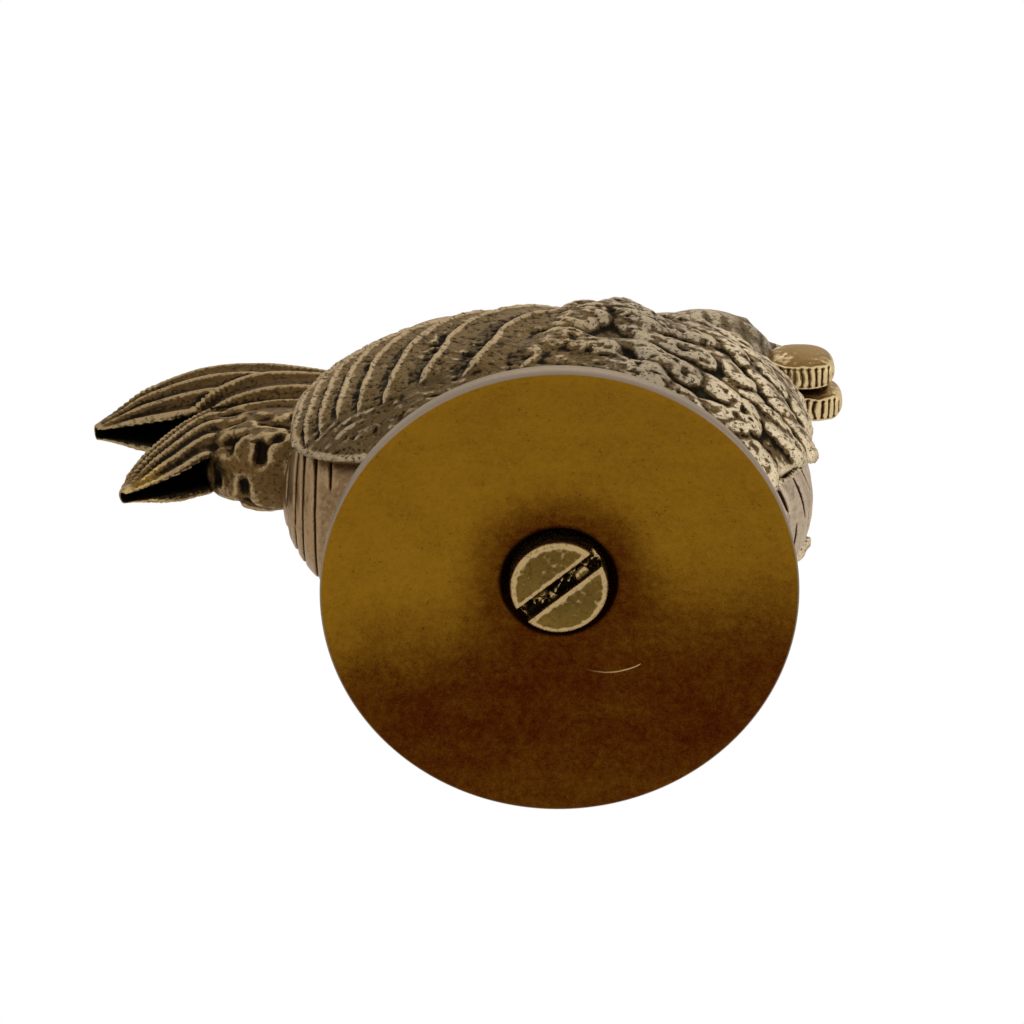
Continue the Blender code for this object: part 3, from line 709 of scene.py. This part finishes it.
def make_wing(name, side):
    """Wing with leaning flight feathers, a granular band below them and a raised smooth lip."""
    wing = cast(joined(name, wing_plate(side)), FINE, 2)
    skin = Skin(wing)
    points = skin.points * (1.0, side, 1.0)
    turn, level = turn_and_level(points, 1.2)
    u = np.clip((turn - WING_FRONT) / (WING_TIP - WING_FRONT), 0.0, 1.0)
    low, high = wing_levels(u)
    v = np.clip((level - low) / np.maximum(high - low, 1.0), 0.0, 1.0)
    inside = np.minimum(np.minimum(level - low, high - level) * 0.40, (WING_TIP - turn) * 0.30)
    bend = grain(skin.points, 7.0, 3) - 0.5
    phase = RIB_START + RIB_PER_TURN * turn + RIB_PER_LEVEL * level + RIB_BEND * turn ** 2 + 0.30 * bend
    share = phase - np.floor(phase)
    ribs = (1.0 - 0.88 * share ** 0.9) * rise(0.0, 0.12, share) + 0.22 * hill(0.12, 0.08, share)
    trough = rise(0.50, 0.80, share) * (1.0 - rise(0.97, 1.0, share)) + (share < 0.03)
    ragged = level + 6.0 * (grain(skin.points, 2.4, 5) - 0.5) - 2.0 * share
    below = 1.0 - rise(-17.0, -11.0, ragged)
    cover = 1.0 - rise(90.0, 97.0, turn + 4.0 * (grain(skin.points, 4.0, 15) - 0.5) + 0.2 * level)
    coat, lump = feather_coat(points, turn, level)
    coat += 0.7 * hill(77.0, 8.0, turn) * hill(20.0, 12.0, level)
    streaks = np.abs(np.sin(np.pi * (level * 0.40 / 1.3 + 1.2 * grain(skin.points, 5.0, 14)))) ** 0.7
    band = 0.42 + 0.22 * streaks * grain(skin.points, 3.0, 17) + 0.5 * (rough_grain(skin.points, 3.4, 18) - 0.5)
    pitted = 0.40 * pits(skin.points, 0.8, 0.45, 1) + 0.16 * pits(skin.points, 0.42, 0.5, 19)
    pitted *= np.maximum(0.25 + 0.75 * trough, 0.0) * (1.0 - 0.55 * below)
    plain = 1.25 * ribs * (1.0 - below) + band * below - pitted
    lip = hill(0.7, 0.5, inside) * rise(95.0, 110.0, turn)
    height = (plain * (1.0 - cover) + coat * cover) * (1.0 - lip * 0.8) + 0.75 * lip
    height *= rise(0.0, 0.7, np.where(turn < 90.0, 9.0, inside))
    height += 0.10 * (rough_grain(skin.points, 1.6, 4) - 0.5)
    if side < 0:
        height *= 1.0 - rise(16.0, 2.0, level) * rise(112.0, 135.0, turn)
    skin.carve(skin.evened(height, 1) * skin.open_side())
    skin.note_crest_wear_and_light()
    # The troughs below the ribs are darkened in the colour: painted shade, with the pits in them.
    skin.note("trough", trough * (1.0 - below) * (1.0 - cover))
    skin.note("front", np.maximum(1.0 - rise(73.0, 92.0, turn), 0.45 * below))
    return wing


def cape_hem(turn):
    return 49.0 - 91.0 * rise(4.0, 29.0, np.abs(turn))


def cape_plate():
    """Cape over the breast and shoulders, open at the throat, a little sunk into the body."""
    def place(u, v, outer):
        turn = 72.5 * (2.0 * u - 1.0)
        hem = cape_hem(turn)
        level = hem + (72.0 - hem) * v
        thick = 1.3 + 0.3 * rise(60.0, 70.0, np.abs(turn))
        thick *= 1.0 - 0.75 * rise(2.0, 14.0, -turn) * rise(2.0, -12.0, level)
        return over_egg(turn, level, -0.4 + thick * outer)
    return plate_form(150, 70, place)


HEAD_FRONT = 34.7
# Height, place ahead, length and width of the neck and head, as shares, from below to the crown
NECK_RINGS = np.array(((0.00, 0.74, 0.00, 0.00), (0.05, 0.80, 0.96, 0.92), (0.20, 0.86, 0.92, 0.86),
                       (0.36, 0.90, 0.82, 0.75), (0.52, 0.95, 0.71, 0.65), (0.66, 1.00, 0.66, 0.63),
                       (0.80, 1.02, 0.66, 0.66), (0.92, 1.02, 0.53, 0.53), (0.985, 1.01, 0.27, 0.27),
                       (1.00, 1.00, 0.00, 0.00)))


def along_points(points, share):
    """Values at shares of the way along evenly spaced points, on a smooth curve through them."""
    points = np.asarray(points, float)
    place = np.clip(share, 0.0, 1.0) * (len(points) - 1)
    index = np.minimum(place.astype(int), len(points) - 2)
    local = (place - index)[:, None]
    before, start = points[np.maximum(index - 1, 0)], points[index]
    end, after = points[index + 1], points[np.minimum(index + 2, len(points) - 1)]
    return 0.5 * (2 * start + (end - before) * local
                  + (2 * before - 5 * start + 4 * end - after) * local ** 2
                  + (3 * start - before - 3 * end + after) * local ** 3)


def neck_place(ways):
    share = np.arcsin(np.clip(ways[:, 2], -1.0, 1.0)) / math.pi + 0.5
    height, ahead, length, width = along_points(NECK_RINGS, share).T
    flat = np.maximum(np.hypot(ways[:, 0], ways[:, 1]), 1e-6)
    return np.stack([17.5 * ahead + 14.0 * np.maximum(length, 0.0) * ways[:, 0] / flat,
                     11.3 * np.maximum(width, 0.0) * ways[:, 1] / flat, 42.0 + 30.5 * height], axis=1)


def ellipsoid(centre, halves, fullness=2.0):
    """Place function of a rounded lump."""
    def place(ways):
        return np.array(centre) + np.copysign(np.abs(ways) ** (2.0 / fullness), ways) * np.array(halves)
    return place


def comb_form():
    """Comb with five rounded points along the crown."""
    outline = []
    for share in np.linspace(0.0, 1.0, 91):
        angle = math.radians(28.0 + 100.0 * share)
        swell = math.sin(math.pi * (0.15 + 0.7 * share))
        radius = 11.2 * (0.8 + 0.2 * swell) + 3.9 * swell * abs(math.sin(math.pi * 5 * share)) ** 0.7
        outline.append((18.0 + radius * math.cos(angle), 63.2 + radius * math.sin(angle)))
    for share in np.linspace(1.0, 0.0, 31):
        angle = math.radians(28.0 + 100.0 * share)
        outline.append((18.0 + 6.5 * math.cos(angle), 63.2 + 6.5 * math.sin(angle)))
    form = bmesh.new()
    face = form.faces.new([form.verts.new((x, -1.1, z)) for x, z in outline])
    wall = bmesh.ops.extrude_face_region(form, geom=[face], use_keep_orig=True)
    moved = [item for item in wall["geom"] if isinstance(item, bmesh.types.BMVert)]
    bmesh.ops.translate(form, verts=moved, vec=(0.0, 2.2, 0.0))
    return facing_out(form)


def beak_form():
    form = bmesh.new()
    bmesh.ops.create_cone(form, cap_ends=True, segments=32, radius1=3.3, radius2=0.5, depth=9.0)
    bmesh.ops.rotate(form, verts=form.verts, cent=(0, 0, 0),
                     matrix=Matrix.Rotation(math.pi / 2 + math.radians(7.0), 3, "Y"))
    bmesh.ops.translate(form, verts=form.verts, vec=(HEAD_FRONT - 0.9 - 4.5, 0.0, 67.2))
    return facing_out(form)


def make_head_and_cape():
    """Cape of overlapping feathers, neck, head, comb, beak and eyes."""
    forms = [ball_form(64, 48, neck_place), comb_form(), beak_form()]
    for side in (-1, 1):
        forms.append(ball_form(24, 16, ellipsoid((22.6, side * 4.9, 67.0), (1.5, 1.5, 1.5))))
    head = cast(joined("head_cast", *forms), COARSE, 0)
    cut(head, joined("room", ball_form(88, 52, lambda ways: egg(ways, -0.3))))
    head = cast(joined("head_and_cape_cast", form_of(head), cape_plate()), FINE * 1.25, 2)
    skin = Skin(head)
    points = skin.points
    x, y, z = points.T
    turn, level = turn_and_level(points, 1.2)
    side_turn = np.abs(turn)
    above = np.linalg.norm(points - over_egg(turn, level, 0.0), axis=1)
    on_cape = (1.0 - rise(55.0, 60.0, level)) * (1.0 - rise(54.0, 58.0, z)) * (1.0 - rise(2.2, 3.2, above))
    coat, lump = feather_coat(points, side_turn, level)
    near_hem = 1.0 - rise(6.0, 15.0, level - cape_hem(turn))
    coat += 0.7 * hill(77.0, 8.0, side_turn) * hill(20.0, 12.0, level)
    relief = (coat - 1.3 * near_hem * (1.0 - rise(0.10, 0.40, lump))) * on_cape
    relief -= 0.7 * rise(3.0, 8.0, y) * (1.0 - rise(-34.0, -26.0, level)) * on_cape
    neck = rise(50.0, 54.0, z) * (1.0 - rise(64.0, 67.0, z)) * (1.0 - rise(25.0, 27.0, x))
    strands = np.abs(np.sin(np.pi * (np.degrees(np.arctan2(y, x - 16.0)) / 15.0 + z * 0.06)))
    relief += 0.25 * neck * (strands ** 0.7 - 0.5) * (0.4 + 0.6 * grain(points, 4.0, 7))
    relief += 0.12 * (rough_grain(points, 1.4, 12) - 0.5) * (1.0 - on_cape)
    skin.carve(skin.evened(relief, 1) * np.maximum(skin.open_side(), 1.0 - on_cape))
    skin.note_crest_wear_and_light()
    skin.note("front", np.maximum(1.0 - on_cape, rise(46.0, 64.0, side_turn + 0.25 * level)))
    return thinned(head, 0.85)


def make_lobes():
    """Two lobes below the beak, smooth on their flanks and fluted on the faces that look down."""
    forms = []
    for side in (-1, 1):
        back = 1.25 if side < 0 else 0.15
        forms.append(ball_form(56, 40, ellipsoid((HEAD_FRONT - 4.0 - back, side * 2.0, 61.6),
                                                 (4.0, 2.1, 4.3), 2.7)))
    lobes = cast(joined("lobes_cast", *forms), 0.15, 1)
    skin = Skin(lobes)
    x, y, z = skin.points.T
    flank = np.abs(skin.normals[:, 1]) + 0.16 * (grain(skin.points, 0.9, 21) - 0.5)
    below = rise(0.25, 0.45, -skin.normals[:, 2] - 0.1 * skin.normals[:, 0])
    face = below * (1.0 - rise(0.62, 0.74, flank)) * rise(26.0, 27.5, x)
    waves = x * 1.22 + 0.7 * grain(skin.points, 1.6, 3)
    flutes = np.abs(np.sin(np.pi * waves)) ** 0.7
    depth = 0.3 + 0.7 * scatter(np.stack([np.floor(waves)] * 3, axis=1))
    relief = 0.13 * hill(0.70, 0.07, flank) * below - 0.34 * face * depth * (1.0 - flutes)
    skin.carve(relief + 0.05 * (rough_grain(skin.points, 1.1, 12) - 0.5))
    skin.note_crest_wear_and_light(0.05, (3, 10))
    skin.note("flute", face * depth * (1.0 - flutes))
    return lobes


# Level, and the places from the right side to the left where each engraved breast stroke starts and ends
BREAST_STROKES = ((-3, -5.1, -1.8), (-3, 0.2, 4.0), (-3, 5.2, 8.6), (-11, -6.9, -2.3), (-12, 0.0, 4.1),
                  (-11, 5.3, 9.0), (-20, -5.8, -0.6), (-17.5, -0.8, 3.1), (-19, 4.4, 8.4), (-30, -5.9, -2.7),
                  (-28, -1.2, 2.6), (-29, 3.9, 7.6), (-3, -9.4, -6.3), (-20, -10.4, -7.0), (4, -3.6, 0.0),
                  (5, 1.4, 4.8), (11, -1.6, 1.9), (-38, -4.4, -0.4), (-38, 1.4, 5.0))


def make_body():
    """Hollow body with its mouth collar, engraved breast strokes and long grooves behind."""
    outside = joined("body_cast", ball_form(176, 104, lambda ways: egg(ways, 0.0, SEAT)))
    collar = joined("collar", turned_form([(0.0, 38.0), (12.0, 38.0), (12.0, 48.4), (12.35, 48.75),
                                           (12.7, 49.45), (12.35, 50.27), (11.8, 50.5),
                                           (0.0, 50.5)], 96))
    collar.data.transform(Matrix.Translation((MOUTH_PLACE, 0.0, 0.0)))
    cut(outside, collar, "UNION")
    cut(outside, joined("hollow", ball_form(96, 60, lambda ways: egg(ways, -WALL, FLOOR))))
    bore = joined("bore", turned_form([(0.0, 33.6), (10.0, 33.6), (10.0, 56.0), (0.0, 56.0)], 96))
    bore.data.transform(Matrix.Translation((MOUTH_PLACE, 0.0, 0.0)))
    cut(outside, bore)
    cut(outside, joined("drill", turned_form([(0.0, 0.0), (3.3, 0.0), (3.3, 10.8), (6.3, 10.8),
                                              (6.3, 16.3), (0.0, 16.3)], 64)))
    body = cast(outside, FINE, 1)
    skin = Skin(body)
    points = skin.points
    x, y, z = points.T
    turn, level = turn_and_level(points, 0.0)
    outward = np.einsum("ij,ij->i", skin.normals, points - np.array([0.0, 0.0, BELLY_MIDDLE])) > 0
    outward &= z < 40.0
    relief = 0.10 * (rough_grain(points, 1.8, 2) - 0.5)
    grooves = np.zeros(skin.count)
    drop = -0.92 * np.abs(y) - 0.39 * z
    for place, end in ((-28.8, -8.9), (-27.7, -6.5), (-26.8, -5.0), (-25.4, -4.0), (-23.7, -10.3)):
        grooves += hill(place, 0.12, x) * (1.0 - rise(end - 1.6, end, drop)) * (x < -20.0)
    for row, start, end in BREAST_STROKES:
        along = np.clip((y - start) / (end - start), 0.0, 1.0)
        taper = np.sqrt(np.clip(1.0 - (2.0 * along - 1.0) ** 2, 0.0, 1.0))
        miss = (level - row + 1.3 * (along - 0.5)) * 0.42
        grooves += hill(0.0, 0.10 + 0.24 * taper, miss) * taper * (x > 15.0)
    skin.carve((relief - 0.38 * np.clip(grooves, 0.0, 1.0)) * outward)
    skin.note_crest_wear_and_light()
    skin.note("stroke", grooves * outward)
    skin.note("front", rise(-24.0, 8.0, x))
    return thinned(body, 0.25)


# Where the tail's outlines start, and how far they reach back and up
TAIL_START, TAIL_SIZE = np.array((-24.0, 25.8)), np.array((-28.5, 36.2))


def plume_form(crest, hem, width, width_shares):
    """Curved gutter, open below, whose two walls hang from its crest down to its hem."""
    crest, hem = TAIL_START + TAIL_SIZE * np.array(crest), TAIL_START + TAIL_SIZE * np.array(hem)

    def place(u, v, outer):
        top, low = along_points(crest, v), along_points(hem, v)
        half = along_points(np.array(width_shares)[:, None], v)[:, 0] * width
        depth = np.linalg.norm(top - low, axis=1)
        wall = np.minimum(np.minimum(1.3, half * 0.4), depth * 0.4)
        side, drop = 2.0 * u - 1.0, np.abs(2.0 * u - 1.0)
        reach = np.where(outer, half, half - wall) * drop ** 0.45 * (1.0 - 0.6 * drop ** 2)
        drop = np.where(outer, drop, drop + (1.0 - drop) * wall / depth)[:, None]
        spot = top + (low - top) * drop
        return np.stack([spot[:, 0], np.copysign(reach, side), spot[:, 1]], axis=1)

    return plate_form(64, 70, place)


def drop_share(points, crest, hem):
    """How far down from the crest to the hem each point lies, as a share."""
    steps = np.linspace(0.0, 1.0, 50)
    tops = along_points(TAIL_START + TAIL_SIZE * np.array(crest), steps)
    lows = along_points(TAIL_START + TAIL_SIZE * np.array(hem), steps)
    flat = points[:, [0, 2]]
    best, share = np.full(len(points), 1e9), np.zeros(len(points))
    for top, low in zip(tops, lows):
        down = low - top
        part = (flat - top) @ down / (down @ down)
        miss = np.linalg.norm(flat - top - np.clip(part, -0.5, 1.5)[:, None] * down, axis=1)
        share, best = np.where(miss < best, part, share), np.minimum(miss, best)
    return share


UPPER_CREST = ((0.00, 0.90), (0.28, 0.985), (0.55, 0.985), (0.79, 0.86), (1.00, 0.56))
UPPER_HEM = ((0.00, 0.39), (0.28, 0.49), (0.52, 0.53), (0.74, 0.53), (0.98, 0.525))
LOWER_CREST = ((0.00, 0.67), (0.31, 0.70), (0.55, 0.586), (0.724, 0.337), (0.82, 0.033))
LOWER_HEM = ((0.00, 0.15), (0.24, 0.19), (0.48, 0.215), (0.62, 0.10), (0.79, 0.00))


def make_tail():
    """Two hollow plumes with long ridges on a rough solid root."""
    forms = [plume_form(UPPER_CREST, UPPER_HEM, 7.2, (1.05, 1.03, 0.92, 0.62, 0.20)),
             plume_form(LOWER_CREST, LOWER_HEM, 6.0, (1.30, 1.10, 0.88, 0.60, 0.20)),
             ball_form(48, 32, ellipsoid((-29.0, 0.0, 37.4), (9.6, 4.9, 8.0), 2.6))]
    tail = joined("tail_cast", forms[0])
    for form in forms[1:]:
        cut(tail, joined("more", form), "UNION")
    cut(tail, joined("room", ball_form(88, 52, lambda ways: egg(ways, -0.4))))
    tail = cast(tail, FINE * 0.8, 1)
    skin = Skin(tail)
    points = skin.points
    x, y, z = points.T
    lower = drop_share(points, LOWER_CREST, LOWER_HEM)
    upper = drop_share(points, UPPER_CREST, UPPER_HEM)
    outward = skin.normals[:, 1] * y > 0.0
    on_lower = (lower > -0.02) & (lower < 1.05)
    ridge = np.where(on_lower, lower, upper) * 5.0
    share = ridge - np.floor(ridge)
    crest = hill(0.0, 0.16, np.minimum(share, 1.0 - share))
    flutes = 0.55 * crest + 0.35 * np.abs(np.cos(np.pi * share))
    flutes *= np.where(on_lower, 1.0, rise(0.22, 0.42, upper))
    flutes *= rise(-52.0, -47.0, x) * rise(26.5, 31.0, z)
    root = rise(-39.0, -35.5, x) * (1.0 - rise(41.5, 44.5, z))
    relief = flutes * (1.0 - 0.9 * root) * 0.75 - 1.1 * root * pits(points, 1.9, 0.5, 3)
    relief += (0.14 + 0.3 * root) * (rough_grain(points, 2.0, 5) - 0.5)
    relief -= 0.25 * pits(points, 0.8, 0.3, 8) * rise(0.55, 0.8, lower) * on_lower
    skin.carve(skin.evened(relief * outward, 2))
    skin.note_crest_wear_and_light()
    golden = rise(-41.0, -43.5, x) * (1.0 - rise(0.26, 0.36, upper)) * (1.0 - on_lower)
    golden = np.maximum(golden, rise(-42.0, -44.0, x) * rise(0.66, 0.80, lower) * on_lower)
    skin.note("golden", skin.evened(golden * outward, 3))
    # Inner walls of the hollow plumes, darkened in the colour: painted shadow.
    inner_wall_shadow = (np.abs(skin.normals[:, 1]) > 0.2) & ~outward & (x < -31.0)
    skin.note("inside", skin.evened(inner_wall_shadow.astype(float), 4))
    return thinned(tail, 0.65)


def make_foot():
    """Turned foot with its smooth dish, worn rim, counterbore and hub."""
    profile = [(24.0, 0.25), (24.0, 2.3), (23.8, 2.5), (21.6, 2.5)]
    for share in np.linspace(0.0, 1.0, 25)[1:-1]:
        profile.append((21.6 - 12.3 * share, 2.5 + 5.3 * share ** 1.5))
    profile += [(9.3, 7.5), (9.0, 7.8), (3.3, 7.8), (3.3, 6.3), (5.85, 6.3), (5.85, 4.2), (6.1, 3.9)]
    for share in np.linspace(0.0, 1.0, 41)[1:-1]:
        profile.append((6.1 + 17.1 * share, 3.9 * (1.0 - share ** 2) + 0.06 * share))
    profile += [(23.3, 0.03), (23.5, 0.0), (23.8, 0.05)]
    foot = joined("foot_disc_turned", turned_form(profile, 256))
    return foot


SLOT_TURN = -39.4


def make_screw():
    """Slotted cheese-head screw with a burred slot."""
    profile = [(0.0, 19.0), (2.65, 19.0), (3.0, 18.65), (3.0, 6.0), (4.85, 6.0), (5.0, 5.85),
               (5.0, 2.75), (4.9, 2.5), (4.65, 2.4), (0.0, 2.4)]
    screw = joined("foot_screw_turned", turned_form(profile, 96))
    slot = bmesh.new()
    bmesh.ops.create_cube(slot, size=1.0)
    bmesh.ops.scale(slot, verts=slot.verts, vec=(15.0, 1.7, 3.6))
    bmesh.ops.rotate(slot, verts=slot.verts, cent=(0, 0, 0),
                     matrix=Matrix.Rotation(math.radians(SLOT_TURN), 3, "Z"))
    bmesh.ops.translate(slot, verts=slot.verts, vec=(0.0, 0.0, 2.4))
    cut(screw, joined("slot", slot))
    screw = cast(screw, 0.16, 1)
    skin = Skin(screw)
    in_slot = rise(2.9, 3.3, skin.points[:, 2]) * (1.0 - rise(4.5, 5.0, skin.points[:, 2]))
    in_slot *= np.hypot(skin.points[:, 0], skin.points[:, 1]) < 4.7
    crumbs = 1.1 * rise(0.42, 0.75, rough_grain(skin.points, 0.9, 8)) * in_slot
    skin.carve(0.05 * (rough_grain(skin.points, 1.0, 3) - 0.5) + crumbs)
    skin.note_crest_wear_and_light(0.03, (2, 5))
    return screw


def make_boss():
    """Threaded slug inside the bird."""
    boss = joined("screw_boss_turned", turned_form([(3.3, 11.1), (6.0, 11.1), (6.0, 18.5), (5.4, 19.1),
                                                    (3.3, 19.1)], 96))
    return boss


CAPE_PALE, CAPE_BROWN = (0.62, 0.50, 0.33), (0.135, 0.083, 0.032)
# The wings' rib troughs are darkened through "trough": painted shade with dirt.
wing_finish = cast_brass("wing feathers", (0.34, 0.245, 0.135), (0.120, 0.073, 0.026), DARK, grooves="trough",
                         worn=0.63, other=("front", SHOULDER_PALE, SHOULDER_BROWN), groove_dirt_and_shade=0.42)
cape_finish = cast_brass("cape feathers", CAPE_PALE, CAPE_BROWN, DARK, worn=0.56,
                         other=("front", SHOULDER_PALE, SHOULDER_BROWN))
lobe_finish = cast_brass("lobe brass", (0.62, 0.47, 0.25), (0.21, 0.125, 0.040), (0.040, 0.012, 0.003), 0.0008,
                         0.7, "flute", 0.62)
body_finish = cast_brass("filed body", (0.27, 0.175, 0.09), (0.175, 0.105, 0.050), (0.030, 0.007, 0.002),
                         0.0012, 0.6, "stroke", other=("front", (0.46, 0.36, 0.26), (0.35, 0.26, 0.185)))
# The tail's inner walls are darkened through "inside": painted shadow.
tail_finish = cast_brass("tail brass", (0.31, 0.215, 0.105), (0.110, 0.061, 0.020), DARK, 0.004, 0.3, "inside",
                         0.66, ("golden", (0.50, 0.35, 0.13), (0.200, 0.110, 0.022)))
foot_finish = turned_brass("turned foot", (0.225, 0.110, 0.0068), (0.046, 0.0045, 0.0006), 0.024)
screw_finish = cast_brass("screw", (0.42, 0.29, 0.13), (0.165, 0.098, 0.020), (0.012, 0.005, 0.001), 0.001, 0.5,
                          worn=0.60)

finish_piece(make_wing("wing_right_cast", 1.0), wing_finish, "wings", "wing_right")
finish_piece(make_wing("wing_left_cast", -1.0), wing_finish, "wings", "wing_left")
finish_piece(make_head_and_cape(), cape_finish, "cape", "head_and_cape")
finish_piece(make_lobes(), lobe_finish, "cape", "head_and_cape")
finish_piece(make_body(), body_finish, "body", "body_vessel")
finish_piece(make_tail(), tail_finish, "tail", "tail")
finish_piece(make_foot(), foot_finish, "turned_foot", "foot_disc")
finish_piece(make_screw(), screw_finish, "screw", "foot_screw")
finish_piece(make_boss(), screw_finish, "boss", "screw_boss")

bpy.context.scene.view_settings.view_transform = "Standard"
